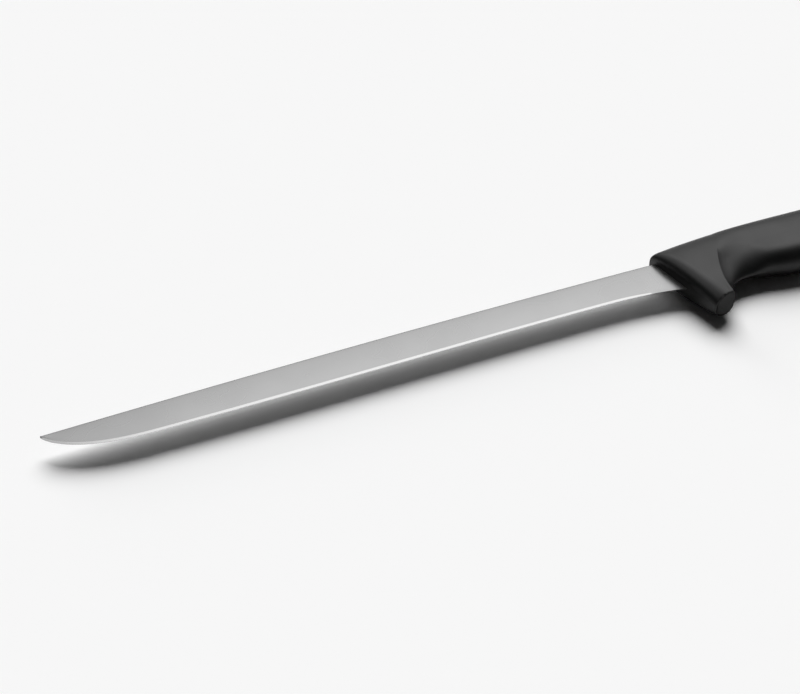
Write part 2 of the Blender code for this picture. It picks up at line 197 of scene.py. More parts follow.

# %% [markdown]
# The steel is martensitic stainless, stamped from sheet, hardened and then ground on both sides. The
# grinding leaves fine lines across the blade, from the back to the edge, which spread a reflection along
# the blade and keep it satin. Its roughness changes a little in patches about 17 mm wide. The cutting
# bevel is honed finer, so it is smoother. Its colour is also set lighter than the flats: a painted
# highlight along the edge. The lines are about 0.1 mm apart on the real blade; they are drawn 0.25 mm
# apart so that they just show close by.

# %% Satin ground stainless steel
STEEL_COLOUR = "#828282"
# The bevel's colour is lighter than the flats: a painted highlight along the cutting edge.
BEVEL_COLOUR_WITH_PAINTED_HIGHLIGHT = "#9a9a9a"
SMOOTHEST_SATIN = 0.24
ROUGHEST_SATIN = 0.29
BEVEL_ROUGHNESS = 0.22
GRIND_LINE = 0.25 * MM
GRIND_LENGTH = 9.0 * MM
GRIND_DEPTH = 0.02 * MM
GRIND_STRENGTH = 0.02
SATIN_PATCHES_PER_METRE = 60.0

steel, tree, shader = new_material("stainless_steel_satin_ground")
place = add_node(tree, "ShaderNodeTexCoord")
lines_map = add_node(
    tree,
    "ShaderNodeMapping",
    Vector=place.outputs["Object"],
    Scale=(1 / GRIND_LINE, 1 / GRIND_LENGTH, 1 / GRIND_LENGTH),
)
lines = add_node(
    tree,
    "ShaderNodeTexNoise",
    Vector=lines_map.outputs["Vector"],
    Scale=1.0,
    Detail=2.0,
    Roughness=0.6,
)
patches = add_node(
    tree,
    "ShaderNodeTexNoise",
    Vector=place.outputs["Object"],
    Scale=SATIN_PATCHES_PER_METRE,
    Detail=2.0,
)
bevel = add_node(tree, "ShaderNodeAttribute", {"attribute_name": "bevel"})
satin = add_node(
    tree,
    "ShaderNodeMapRange",
    Value=patches.outputs["Fac"],
    From_Min=NOISE_LOW,
    From_Max=NOISE_HIGH,
    To_Min=SMOOTHEST_SATIN,
    To_Max=ROUGHEST_SATIN,
)
rough = add_node(
    tree,
    "ShaderNodeMix",
    {"data_type": "FLOAT"},
    _0=bevel.outputs["Fac"],
    _2=satin.outputs["Result"],
    _3=BEVEL_ROUGHNESS,
)
# The bevel's faces get the lighter colour, which paints a highlight along the cutting edge.
colour = add_node(
    tree,
    "ShaderNodeMix",
    {"data_type": "RGBA"},
    _0=bevel.outputs["Fac"],
    _6=linear(STEEL_COLOUR),
    _7=linear(BEVEL_COLOUR_WITH_PAINTED_HIGHLIGHT),
)
bump = add_node(
    tree,
    "ShaderNodeBump",
    Strength=GRIND_STRENGTH,
    Distance=GRIND_DEPTH,
    Height=lines.outputs["Fac"],
)
tree.links.new(colour.outputs[2], shader.inputs["Base Color"])
shader.inputs["Metallic"].default_value = 1.0
tree.links.new(rough.outputs[0], shader.inputs["Roughness"])
tree.links.new(bump.outputs["Normal"], shader.inputs["Normal"])
print("made", steel.name)

# %% [markdown]
# The outline of the blade: the back runs straight out of the handle and falls away slowly to the tip, the
# edge runs parallel to it, turns up in a round tip and flares down a little at the heel.

# %% Outline of the blade
BLADE_LENGTH = 239.8
BLADE_WIDTH = 15.0
BACK_DROP_AT_TIP = 4.95
TIP_DEPTH = 0.5
TIP_CURVE_LENGTH = 39.6
TIP_CURVE_FULLNESS = 2.79
TIP_CURVE_ROUNDNESS = 1.376
EDGE_AT_TIP_CURVE = -18.35
HEEL_FLARE = 2.1
HEEL_LENGTH = 27.0
HEEL_CURVE = 2.2
HEEL_START = BLADE_LENGTH - HEEL_LENGTH


def blade_back(x):
    """Height of the back at x."""
    reach = max(BLADE_LENGTH - x, 0.0) / BLADE_LENGTH
    return BACK_AT_HANDLE - BACK_DROP_AT_TIP * reach * reach


def blade_edge(x):
    """Height of the cutting edge at x."""
    run = (x - TIP_CURVE_LENGTH) / (HEEL_START - TIP_CURVE_LENGTH)
    edge = blend(EDGE_AT_TIP_CURVE, BACK_AT_HANDLE - BLADE_WIDTH, ease(run))
    if x < TIP_CURVE_LENGTH:
        t = 1 - x / TIP_CURVE_LENGTH
        rise = 1 - (1 - t**TIP_CURVE_FULLNESS) ** (1 / TIP_CURVE_ROUNDNESS)
        edge = blend(EDGE_AT_TIP_CURVE, blade_back(0.0) - TIP_DEPTH, rise)
    flare = max(x - HEEL_START, 0.0) / HEEL_LENGTH
    return edge - HEEL_FLARE * flare**HEEL_CURVE


print("the blade is", round(blade_back(120) - blade_edge(120), 1), "mm wide half way along")

# %% [markdown]
# The cutting bevel is about a millimetre wide along the whole blade. Towards the heel it narrows, and it
# runs out before the handle, because the honing wheel can't reach closer. Near the tip it takes at most
# half the width.

# %% Width of the cutting bevel
BEVEL_WIDTH = 1.15
BEVEL_AT_HEEL = 0.4
BEVEL_NARROWS = 22.0
BEVEL_STOPS = 6.0
BEVEL_RUN_OUT = 6.7


def bevel_width(x):
    """The cutting bevel keeps its width, narrows towards the heel and is half the blade at the very tip."""
    width = blend(BEVEL_WIDTH, BEVEL_AT_HEEL, ease((x - BLADE_LENGTH) / BEVEL_NARROWS + 1))
    return min(width, (blade_back(x) - blade_edge(x)) / 2)


print("the bevel is", bevel_width(120), "mm wide half way and", bevel_width(BLADE_LENGTH), "mm at the heel")

# %% [markdown]
# Across its width the blade is a thin wedge: 1.5 mm thick at the back by the handle, under half a
# millimetre at the shoulder of the cutting bevel, and almost nothing at the edge. The sides are ground
# very slightly convex, which is why the light on them changes a little from the back to the edge. The
# corners of the back are eased.

# %% Section of the blade
BACK_THICKNESS = 1.5
TIP_THICKNESS = 0.8
SHOULDER_THICKNESS = 0.45
EDGE_THICKNESS = 0.06
EDGE_ROUNDING = 0.6
HEEL_EDGE_THICKNESS = 0.3
EASING_ACROSS = 0.6
EASING_DOWN = 0.16
EASING_STEPS = 5
GRIND_BULGE = 0.10
FLAT_STEPS = 8


def blade_section(x):
    """Points round the blade at x, from the middle of the back down one side and up the other."""
    along = min(x / BLADE_LENGTH, 1.0)
    back = blade_back(x)
    edge = blade_edge(x)
    heel = ease((x - BLADE_LENGTH + BEVEL_STOPS + BEVEL_RUN_OUT) / BEVEL_RUN_OUT)
    half_back = blend(TIP_THICKNESS, BACK_THICKNESS, along) / 2
    half_shoulder = min(blend(SHOULDER_THICKNESS, HEEL_EDGE_THICKNESS, heel) / 2, half_back)
    half_edge = min(blend(EDGE_THICKNESS, HEEL_EDGE_THICKNESS, heel) / 2, half_shoulder)
    shoulder = edge + bevel_width(x)
    across = min(EASING_ACROSS, (back - shoulder) / 3)
    side = [(back, 0.0)]
    for k in range(EASING_STEPS):
        turn = math.pi / 2 * k / EASING_STEPS
        down = EASING_DOWN * (1 - math.sin(turn))
        side.append((back - across * (1 - math.cos(turn)), half_back - down))
    for k in range(FLAT_STEPS + 1):
        t = k / FLAT_STEPS
        bulge = GRIND_BULGE * 4 * t * (1 - t) * min((back - edge) / BLADE_WIDTH, 1.0)
        side.append((blend(back - across, shoulder, t), blend(half_back, half_shoulder, t) + bulge))
    side += [(edge, half_edge), (edge - half_edge * EDGE_ROUNDING, 0.0)]
    other = [(y, -z) for y, z in reversed(side[1:-1])]
    return [at(x, y, z) for y, z in side + other]


print("a section of the blade has", len(blade_section(100)), "points")

# %% [markdown]
# The blade is a skin through its sections, which lie closest together at the tip, where the outline turns
# most. The tang carries on inside the handle, where nobody sees it, so only a short stub of the blade is
# drawn there: far enough that the joint looks closed from every side. The real tang, with its holes,
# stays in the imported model.

# %% The blade
TIP_STEPS = 60
RUN_STEPS = 60
HEEL_STEPS = 24
INSIDE_HANDLE = 8.5
BLADE_SHARP_ANGLE = math.radians(5)

tip_places = [TIP_CURVE_LENGTH * (k / TIP_STEPS) ** 2 for k in range(TIP_STEPS)]
run_places = [blend(TIP_CURVE_LENGTH, HEEL_START, k / RUN_STEPS) for k in range(RUN_STEPS)]
heel_places = [blend(HEEL_START, BLADE_LENGTH, k / HEEL_STEPS) for k in range(HEEL_STEPS + 1)]
blade_places = tip_places + run_places + heel_places + [BLADE_LENGTH + INSIDE_HANDLE]

bm = skin([blade_section(x) for x in blade_places])
close_ends(bm)
blade = piece_from(bm, "blade_ground", steel, BLADE_SHARP_ANGLE)
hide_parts("blade")

# %% [markdown]
# The shader has to know where the cutting bevel is: there the steel is smoother, and its colour is lighter,
# which is a painted highlight. A value on each face of the blade says so: 1 on the faces between the
# shoulder and the edge and 0 elsewhere. It stops where the bevel runs out before the handle.

# %% Mark the cutting bevel on the blade
SHOULDER_MARGIN = 1.02

marks = blade.data.attributes.new("bevel", "FLOAT", "FACE")
bevel_end = at(BLADE_LENGTH - BEVEL_STOPS - BEVEL_RUN_OUT / 2, 0, 0).x
for face, mark in zip(blade.data.polygons, marks.data):
    corners = [(blade.data.vertices[k].co - ORIGIN) / MM for k in face.vertices]
    below_shoulder = all(
        c.y - blade_edge(max(c.x, 0.0)) < SHOULDER_MARGIN * bevel_width(max(c.x, 0.0)) for c in corners
    )
    mark.value = 1.0 if below_shoulder and face.center.x < bevel_end else 0.0
print("faces on the bevel:", sum(mark.value > 0 for mark in marks.data))

# %% [markdown]
# The handle is black polypropylene, injection moulded round the tang. Its mould was spark eroded to a
# fine satin grain, so the plastic is neither glossy nor dull: it shows soft, broad reflections. Patches
# about 11 mm wide are a little smoother than the rest, where hands and the mould have polished them. The
# grain is about 0.1 mm on the real handle; it is drawn 0.45 mm wide so that it shows close by. The core's
# end was never polished, so it is duller than the grip.

# %% Moulded black polypropylene
PLASTIC_COLOUR = "#0f0f0f"
PLASTIC_IOR = 1.49
GRAIN = 0.45 * MM
GRAIN_DEPTH = 0.02 * MM
GRAIN_STRENGTH = 0.25
WORN_PATCHES_PER_METRE = 90.0


def moulded_plastic(name, smoothest, roughest, gloss):
    """Black moulded plastic with a fine grain, whose roughness changes a little in patches."""
    material, tree, shader = new_material(name)
    place = add_node(tree, "ShaderNodeTexCoord")
    grain = add_node(
        tree,
        "ShaderNodeTexNoise",
        Vector=place.outputs["Object"],
        Scale=1 / GRAIN,
        Detail=2.0,
        Roughness=0.55,
    )
    patches = add_node(
        tree,
        "ShaderNodeTexNoise",
        Vector=place.outputs["Object"],
        Scale=WORN_PATCHES_PER_METRE,
        Detail=3.0,
    )
    rough = add_node(
        tree,
        "ShaderNodeMapRange",
        Value=patches.outputs["Fac"],
        From_Min=NOISE_LOW,
        From_Max=NOISE_HIGH,
        To_Min=smoothest,
        To_Max=roughest,
    )
    bump = add_node(
        tree,
        "ShaderNodeBump",
        Strength=GRAIN_STRENGTH,
        Distance=GRAIN_DEPTH,
        Height=grain.outputs["Fac"],
    )
    shader.inputs["Base Color"].default_value = linear(PLASTIC_COLOUR)
    shader.inputs["IOR"].default_value = PLASTIC_IOR
    shader.inputs["Specular IOR Level"].default_value = gloss
    tree.links.new(rough.outputs["Result"], shader.inputs["Roughness"])
    tree.links.new(bump.outputs["Normal"], shader.inputs["Normal"])
    print("made", material.name)
    return material


grip_plastic = moulded_plastic("black_polypropylene_satin_moulded", smoothest=0.38, roughest=0.44, gloss=0.37)
core_plastic = moulded_plastic("black_polypropylene_core", smoothest=0.58, roughest=0.64, gloss=0.2)

# %% [markdown]
# The handle's shape, from the front to the butt: a rounded slanted front that the blade comes out of, two
# flat cheeks that run down into the guard and end in a crease, a finger groove behind the guard, and the
# grip with its palm swell, waist and beak. It is a skin through many slices. Each slice runs from a point
# on the back to a point on the belly.
#
# The section of a slice is a squared ellipse at the back. Towards the belly it is a blend of such an
# ellipse and of a slab that keeps its thickness and rounds off over the last few millimetres. A cheek is
# flat right down to the guard's tip. A slice may bow forward, and its lower part may dip or be pinched,
# as it is behind the crease.

# %% Section of the handle
FRONT_X = BLADE_LENGTH
AROUND = 144
ROUND = 2.0
GRIP_SQUARENESS = 2.2
GRIP_BACK_SQUARENESS = 3.0
GUARD_SQUARENESS = 9.0
BELLY_SLAB = 0.8
BELLY_ROUNDING = 7.4
GUARD_DEPTH = 33.1
GUARD_TAPER_START = 13.0
DIP_STARTS = 0.15
DIP_ENDS = 0.65
PINCH_STARTS = 0.30
PINCH_ENDS = 1.15


def bow_shape(q):
    """0 at both ends of a slice and 1 two thirds of the way down, where a bowed slice bends the most."""
    return 27 / 4 * q * q * (1 - q)


def superellipse(along, square):
    """Height of a squared ellipse at along, where the middle is 0 and the end is 1."""
    return max(1 - along**square, 0.0) ** (1 / square)


def handle_section(
    back,
    belly,
    half,
    inset=0.0,
    back_square=GRIP_BACK_SQUARENESS,
    belly_square=GRIP_SQUARENESS,
    belly_slab=BELLY_SLAB,
    rounding=BELLY_ROUNDING,
    round_square=ROUND,
    tip_half=None,
    flat=0.0,
    tip_flat=None,
    bow=0.0,
    dip=0.0,
    pinch=0.0,
    turn=math.pi / 2,
):
    """Points round one slice with half its thickness; the defaults are those of a plain slice of the grip."""
    tip_half = half if tip_half is None else tip_half
    tip_flat = flat if tip_flat is None else tip_flat
    chord = (belly - back).normalized()
    back = back + chord * inset
    belly = belly - chord * inset
    round_share = rounding / (belly - back).length
    points = []
    for k in range(AROUND):
        angle = 2 * math.pi * k / AROUND
        across = math.cos(angle)
        near_back = across > 0
        q = (1 - across) / 2
        spot = back.lerp(belly, q)
        down = max(-spot.y - GUARD_TAPER_START, 0.0) / (GUARD_DEPTH - GUARD_TAPER_START)
        plain = superellipse(abs(across), back_square if near_back else belly_square)
        rounded = superellipse(max(q - 1 + round_share, 0.0) / round_share, round_square)
        level = plain if near_back else superellipse(abs(across), GUARD_SQUARENESS)
        height = blend(plain, rounded * (plain if near_back else 1.0), belly_slab)
        height = blend(height, level, blend(flat, tip_flat, min(down, 1.0)))
        sunk = dip * ease((q - DIP_STARTS) / (DIP_ENDS - DIP_STARTS))
        sunk += pinch * ease((q - PINCH_STARTS) / (PINCH_ENDS - PINCH_STARTS)) * (1 - min(down, 1.0))
        thick = blend(half, tip_half, down * down) - sunk - inset * math.sin(turn)
        x = spot.x + inset * math.cos(turn) - bow * bow_shape(q)
        side = 1 if math.sin(angle) >= 0 else -1
        points.append(at(x, spot.y, side * thick * height))
    return points


print("a slice of the handle has", AROUND, "points and the guard is", GUARD_DEPTH, "mm deep")

# %% [markdown]
# The back of the handle climbs from the front to a low crest and falls again to the butt. It is a smooth
# line through a few points with a slope at each, so a change to one point keeps it smooth.

# %% Back of the handle
HANDLE_LENGTH = 135.0
BUTT_X = FRONT_X + HANDLE_LENGTH
BACK_AT_FRONT = 2.2
BACK_RISE_SLOPE = 0.155
BACK_CREST = 5.25
BACK_CREST_AT = 60.0
BACK_AT_BUTT = -0.6
BACK_SLOPE_AT_BUTT = -0.24


def smooth_line(knots, x):
    """Height at x of a smooth line through knots (x, height, slope)."""
    if x <= knots[0][0]:
        return knots[0][1] + knots[0][2] * (x - knots[0][0])
    for (x0, y0, slope0), (x1, y1, slope1) in zip(knots, knots[1:]):
        if x <= x1:
            run = x1 - x0
            t = (x - x0) / run
            start = (1 + 2 * t) * (1 - t) ** 2 * y0 + t * (1 - t) ** 2 * run * slope0
            return start + t * t * (3 - 2 * t) * y1 + t * t * (t - 1) * run * slope1
    return knots[-1][1] + knots[-1][2] * (x - knots[-1][0])


def back_line(x):
    """Height of the handle's back at x."""
    knots = [
        (FRONT_X, BACK_AT_FRONT, BACK_RISE_SLOPE),
        (FRONT_X + BACK_CREST_AT, BACK_CREST, 0.0),
        (BUTT_X, BACK_AT_BUTT, BACK_SLOPE_AT_BUTT),
    ]
    return smooth_line(knots, x)


print("the back is at y =", round(back_line(FRONT_X + 30), 2), "mm, 30 mm behind the front")

# %% [markdown]
# The belly of the grip runs from the finger groove over the palm swell and the waist to the beak. The
# butt behind it leans and bulges, so the beak's place is worked out from how far the bulge reaches.

# %% Belly of the handle
GROOVE_AT = 32.7
GROOVE_DEPTH = 21.3
GRIP_SWELL_START = 22.0
GRIP_SWELL_START_AT = 44.0
GRIP_SWELL_SLOPE = -0.24
PALM_DEPTH = 24.4
PALM_AT = 68.0
WAIST_DEPTH = 21.7
WAIST_AT = 99.0
BEAK_DEPTH = 26.2
BUTT_SETBACK = 4.5
BUTT_ROUNDING = 5.0
BUTT_BULGE = 2.4

butt_reach = max(BUTT_BULGE * bow_shape(k / 100) - BUTT_SETBACK * (1 - k / 100) for k in range(101))
BEAK_X = BUTT_X - BUTT_ROUNDING - butt_reach


def belly_line(x):
    """Height of the grip's belly at x."""
    knots = [
        (FRONT_X + GROOVE_AT, -GROOVE_DEPTH, 0.0),
        (FRONT_X + GRIP_SWELL_START_AT, -GRIP_SWELL_START, GRIP_SWELL_SLOPE),
        (FRONT_X + PALM_AT, -PALM_DEPTH, 0.0),
        (FRONT_X + WAIST_AT, -WAIST_DEPTH, 0.0),
        (BEAK_X, -BEAK_DEPTH, 0.0),
    ]
    return smooth_line(knots, x)


print("the beak starts to round off at x =", round(BEAK_X, 1), "mm")

# %% [markdown]
# The front leans forward from the back to the guard, and the guard's tip is cut off flat with a slight
# tilt. The slices run a little past that cut, and the cut is made later.

# %% Slanted front and tip of the guard
FRONT_LEAN = math.radians(13.2)
GUARD_TIP_WIDTH = 10.1
GUARD_TIP_TILT = math.radians(13.9)
GUARD_OVERRUN = 3.0


def front_point(depth, setback=0.0):
    """A point on the slanted front, depth below the back of the blade and setback behind the front face."""
    return Vector((FRONT_X + depth * math.tan(FRONT_LEAN) + setback, -depth))


TIP_ALONG = Vector((math.cos(GUARD_TIP_TILT), math.sin(GUARD_TIP_TILT)))
TIP_CORNER = front_point(GUARD_DEPTH + GUARD_TIP_WIDTH * math.sin(GUARD_TIP_TILT) / 2)
print("the guard's tip starts at", [round(v, 1) for v in TIP_CORNER])

# %% [markdown]
# A mould leaves no sharp corner at the front. The slices there start with the narrow front face and
# widen, as a quarter circle does, to the flat cheeks. An inset greater than 0 gives the same form for the
# core, inside a skin of that thickness.

# %% Slices of the rounded front
NOSE_STEPS = 18
NOSE_SQUARENESS = 5.0
CHEEK_SQUARENESS = 2.9
FRONT_FACE_HALF = 2.6
FRONT_SETBACK = 0.8
FRONT_ROUNDING = 4.2
FRONT_CORNER_ROUNDING = 0.6
CHEEK_HALF = 7.0
GUARD_FACE_HALF = 0.8
GUARD_ROUNDING = 6.2
GUARD_TIP_HALF = 5.4


def nose_sections(inset):
    """The rounded front, from its narrow face to the flat cheeks."""
    sections = []
    for k in range(NOSE_STEPS + 1):
        turn = math.pi / 2 * k / NOSE_STEPS
        back_x = FRONT_X + FRONT_SETBACK + FRONT_ROUNDING * (1 - math.cos(turn))
        corner = FRONT_CORNER_ROUNDING * (1 - math.sin(turn))
        sections.append(
            handle_section(
                Vector((back_x, back_line(back_x) - corner)),
                front_point(GUARD_DEPTH + GUARD_OVERRUN, GUARD_ROUNDING * (1 - math.cos(turn))),
                blend(FRONT_FACE_HALF, CHEEK_HALF, math.sin(turn)),
                inset,
                back_square=blend(NOSE_SQUARENESS, CHEEK_SQUARENESS, math.sin(turn)),
                belly_square=GUARD_SQUARENESS,
                belly_slab=0.0,
                tip_half=blend(GUARD_FACE_HALF, GUARD_TIP_HALF, math.sin(turn)),
                turn=turn,
            )
        )
    return sections


front_top = nose_sections(0.0)[0][0]
print("the front starts at", [round(v / MM, 1) for v in front_top - ORIGIN])

# %% [markdown]
# The cheeks are flat and run down into the guard, where they end at its tip. Behind, they end at a
# crease, which bows forward on its way from the back down to the guard.

# %% Slices of the cheeks
CHEEK_STEPS = 14
CREASE_HALF = 7.3
CREASE_SQUARENESS = 3.2
CREASE_TO_FRONT = 30.2
CREASE_TO_GUARD_BACK = 2.8
CREASE_BOW = 3.5


def cheek_sections(inset):
    """From the rounded front to the crease that ends the cheeks."""
    first_back = FRONT_X + FRONT_SETBACK + FRONT_ROUNDING
    last_back = FRONT_X + CREASE_TO_FRONT
    first_belly = front_point(GUARD_DEPTH + GUARD_OVERRUN, GUARD_ROUNDING)
    crease_end = TIP_CORNER + TIP_ALONG * (GUARD_TIP_WIDTH - CREASE_TO_GUARD_BACK)
    last_belly = crease_end + Vector((math.tan(FRONT_LEAN), -1)) * GUARD_OVERRUN
    sections = []
    for k in range(1, CHEEK_STEPS + 1):
        t = k / CHEEK_STEPS
        back_x = blend(first_back, last_back, t)
        sections.append(
            handle_section(
                Vector((back_x, back_line(back_x))),
                first_belly.lerp(last_belly, t),
                blend(CHEEK_HALF, CREASE_HALF, t * t),
                inset,
                back_square=blend(CHEEK_SQUARENESS, CREASE_SQUARENESS, t),
                belly_square=GUARD_SQUARENESS,
                belly_slab=0.0,
                tip_half=GUARD_TIP_HALF,
                bow=CREASE_BOW * t,
                dip=(CREASE_HALF - CHEEK_HALF) * t * t,
            )
        )
    return sections


print("slices over the front and the cheeks:", NOSE_STEPS + 1 + CHEEK_STEPS)

# %% [markdown]
# Behind the crease the slices swing round, from running down the guard to square across the grip. Their
# lower ends follow the back of the guard and turn into the finger groove, so the index finger finds a
# hollow there.

# %% Path of the finger groove
GROOVE_REACH = 10.0
GUARD_BACK_LEAN = math.radians(17.5)
GUARD_BACK_REACH = 9.4


def groove_path(t):
    """The middle of the belly, up the back of the guard and round into the groove."""
    guard_back = Vector((math.sin(GUARD_BACK_LEAN), math.cos(GUARD_BACK_LEAN)))
    start = TIP_CORNER + TIP_ALONG * GUARD_TIP_WIDTH - guard_back * GUARD_OVERRUN
    leave_guard = start + guard_back * GUARD_BACK_REACH
    groove = Vector((FRONT_X + GROOVE_AT, -GROOVE_DEPTH))
    reach_groove = groove - Vector((GROOVE_REACH, 0.0))
    s = 1 - t
    return s**3 * start + 3 * s * s * t * leave_guard + 3 * s * t * t * reach_groove + t**3 * groove


print("half way the groove's path is at", [round(v, 1) for v in groove_path(0.5)])

# %% [markdown]
# The neck between the crease and the grip falls away from the cheek in a steep little step, which is the
# crease itself. Below it the neck is one round form that is pinched towards the groove, to make room for
# the finger. The slices are crowded together at the step, so that its edge stays crisp.

# %% Slices of the neck
GROOVE_STEPS = 60
GROOVE_CROWDING = 1.5
GROOVE_SLICE_LEAN = 5.5
CREASE_WIDTH = 0.06
GRIP_HALF = 7.8
SWELL_LENGTH = 28.0
NECK_DIP = 1.2
NECK_PINCH = 3.4
NECK_STARTS = 0.60
NECK_ROUNDING = 13.0
NECK_ROUNDING_AT_CREASE = 24.0
NECK_SQUARENESS = 1.65


def cheek_share(t):
    """How flat the guard's tip still is behind the crease, where the back of the guard rounds off."""
    return (1 - min(t / NECK_STARTS, 1.0)) ** 2


def thickness_at_back(x):
    """Half the thickness near the back, which grows slowly from the crease on."""
    return blend(CREASE_HALF, GRIP_HALF, ease((x - FRONT_X - CREASE_TO_FRONT) / SWELL_LENGTH))


def groove_sections(inset):
    """From the crease, round the neck and into the finger groove."""
    sections = []
    for k in range(1, GROOVE_STEPS + 1):
        t = (k / GROOVE_STEPS) ** GROOVE_CROWDING
        step = min(t / CREASE_WIDTH, 1.0)
        back_x = blend(FRONT_X + CREASE_TO_FRONT, FRONT_X + GROOVE_AT + GROOVE_SLICE_LEAN, t)
        half = thickness_at_back(back_x)
        middle_half = blend(CHEEK_HALF, GRIP_HALF - NECK_DIP, 1 - (1 - t) ** 2)
        sections.append(
            handle_section(
                Vector((back_x, back_line(back_x))),
                groove_path(t),
                half,
                inset,
                back_square=blend(CREASE_SQUARENESS, GRIP_BACK_SQUARENESS, ease(t)),
                belly_slab=1.0,
                rounding=blend(NECK_ROUNDING_AT_CREASE, NECK_ROUNDING, t),
                round_square=NECK_SQUARENESS,
                tip_half=blend(half, GUARD_TIP_HALF, (1 - t) ** 2),
                flat=1 - step,
                tip_flat=cheek_share(t),
                bow=CREASE_BOW * (1 - ease(t)),
                dip=half - middle_half,
                pinch=NECK_PINCH * step * (1 - ease(2 * t - 1)),
            )
        )
    return sections


print("the handle is", 2 * thickness_at_back(BUTT_X), "mm thick and", 2 * CHEEK_HALF, "mm at the cheeks")

# %% [markdown]
# Over the first centimetre of the grip the round form of the neck changes to the grip's own section, and
# over the next few its sides come back to their full thickness.

# %% Slices of the grip
GRIP_STEPS = 80
NECK_LENGTH = 9.0
NECK_FADE = 36.0


def grip_sections():
    """From the finger groove to the beak."""
    first_back = FRONT_X + GROOVE_AT + GROOVE_SLICE_LEAN
    first_belly = FRONT_X + GROOVE_AT
    sections = []
    for k in range(1, GRIP_STEPS + 1):
        t = k / GRIP_STEPS
        back_x = blend(first_back, BEAK_X - BUTT_SETBACK, t)
        belly_x = blend(first_belly, BEAK_X, t)
        half = thickness_at_back(back_x)
        middle_half = GRIP_HALF - NECK_DIP * (1 - ease((belly_x - first_belly) / NECK_FADE))
        past = ease((belly_x - first_belly) / NECK_LENGTH)
        sections.append(
            handle_section(
                Vector((back_x, back_line(back_x))),
                Vector((belly_x, belly_line(belly_x))),
                half,
                belly_slab=blend(1.0, BELLY_SLAB, past),
                rounding=blend(NECK_ROUNDING, BELLY_ROUNDING, past),
                round_square=blend(NECK_SQUARENESS, ROUND, past),
                dip=max(half - middle_half, 0.0),
            )
        )
    return sections


print("slices of the neck and the grip:", GROOVE_STEPS + GRIP_STEPS)

# %% [markdown]
# The butt leans with the beak ahead of the back, bulges a little and rounds off on all sides. Its last
# slice is almost closed, and one narrow face closes the handle there.

# %% Slices of the butt
BUTT_STEPS = 16
BUTT_SQUARENESS = 2.5
LAST_SHARE = 0.002


def butt_sections():
    """The butt rounds off to a thin ridge, which the last section almost closes."""
    back = Vector((BEAK_X - BUTT_SETBACK, back_line(BEAK_X - BUTT_SETBACK)))
    belly = Vector((BEAK_X, -BEAK_DEPTH))
    sections = []
    for k in range(1, BUTT_STEPS + 1):
        turn = math.pi / 2 * k / BUTT_STEPS
        ahead = BUTT_ROUNDING * math.sin(turn)
        inward = BUTT_ROUNDING * (1 - math.cos(turn))
        half = GRIP_HALF * max(math.cos(turn), LAST_SHARE) ** (2 / BUTT_SQUARENESS)
        sections.append(
            handle_section(
                back + Vector((ahead, -inward)),
                belly + Vector((ahead, inward)),
                half,
                bow=-BUTT_BULGE * math.sin(turn),
            )
        )
    return sections


print("slices of the butt:", BUTT_STEPS)

# %% [markdown]
# The tip of the guard is cut off flat and shows an oval: the end of the core, the plastic that was
# moulded first, inside a thin rim of the grip. A fine dark line runs between them. Here the skin of the
# handle is cut with a plane, the cut is filled, and the fill is inset three times: for the eased edge,
# for the rim, and for the wall of a pocket, which is pushed in. The core stands in that pocket.

# %% The grip
TIP_EASING = 0.25
TIP_EASING_DROP = 0.6
RIM = 0.6
CLEARANCE = 0.3
POCKET_DEPTH = 1.2
POCKET_TAPER = 0.02
GRIP_SHARP_ANGLE = math.radians(32)
TIP_NORMAL = Vector((math.sin(GUARD_TIP_TILT), -math.cos(GUARD_TIP_TILT), 0.0))
TIP_MIDDLE = TIP_CORNER + TIP_ALONG * GUARD_TIP_WIDTH / 2


def cut_off_tip(bm):
    """Cuts away everything below the guard's flat tip, and leaves the cut open."""
    limit = at(TIP_CORNER.x + 2 * GUARD_TIP_WIDTH, 0.0, 0.0).x
    near = [vert for vert in bm.verts if vert.co.x < limit]
    edges = {edge for vert in near for edge in vert.link_edges}
    faces = {face for vert in near for face in vert.link_faces}
    bmesh.ops.bisect_plane(
        bm,
        geom=near + list(edges) + list(faces),
        plane_co=at(TIP_MIDDLE.x, TIP_MIDDLE.y, 0.0),
        plane_no=TIP_NORMAL,
        clear_outer=True,
        dist=MERGE_DISTANCE,
    )


def grip_body():
    """The whole outer plastic, closed, with the pocket for the core in the guard's tip."""
    front = nose_sections(0.0) + cheek_sections(0.0)
    bm = skin(front + groove_sections(0.0) + grip_sections() + butt_sections())
    rim = [edge for edge in bm.edges if edge.is_boundary]
    bmesh.ops.holes_fill(bm, edges=rim, sides=0)
    cut_off_tip(bm)
    rim = [edge for edge in bm.edges if edge.is_boundary]
    tip = bmesh.ops.holes_fill(bm, edges=rim, sides=0)["faces"]
    bmesh.ops.recalc_face_normals(bm, faces=bm.faces)
    easing = bmesh.ops.inset_region(bm, faces=tip, thickness=TIP_EASING * MM)["faces"]
    outer = {vert for face in easing for vert in face.verts} - {vert for face in tip for vert in face.verts}
    for vert in outer:
        vert.co -= TIP_NORMAL * TIP_EASING * MM * TIP_EASING_DROP
    bmesh.ops.inset_region(bm, faces=tip, thickness=(RIM - CLEARANCE - TIP_EASING) * MM)
    bmesh.ops.inset_region(bm, faces=tip, thickness=POCKET_TAPER * MM, depth=-POCKET_DEPTH * MM)
    print("faces of the eased edge round the tip:", len(easing))
    return bm


grip = piece_from(grip_body(), "grip_moulding", grip_plastic, GRIP_SHARP_ANGLE)
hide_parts("handle_grip")

# %% [markdown]
# Of the core only its flat end shows, in the pocket at the guard's tip. It is made from the same slices
# as the grip, one rim's width further in, and cut off with the same plane. The slices behind the guard
# are left out, because nobody sees the core there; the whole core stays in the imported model.

# %% The end of the core
CORE_FIRST_NOSE_SLICE = 4
CORE_GROOVE_SLICES = 27
CORE_SHARP_ANGLE = math.radians(30)

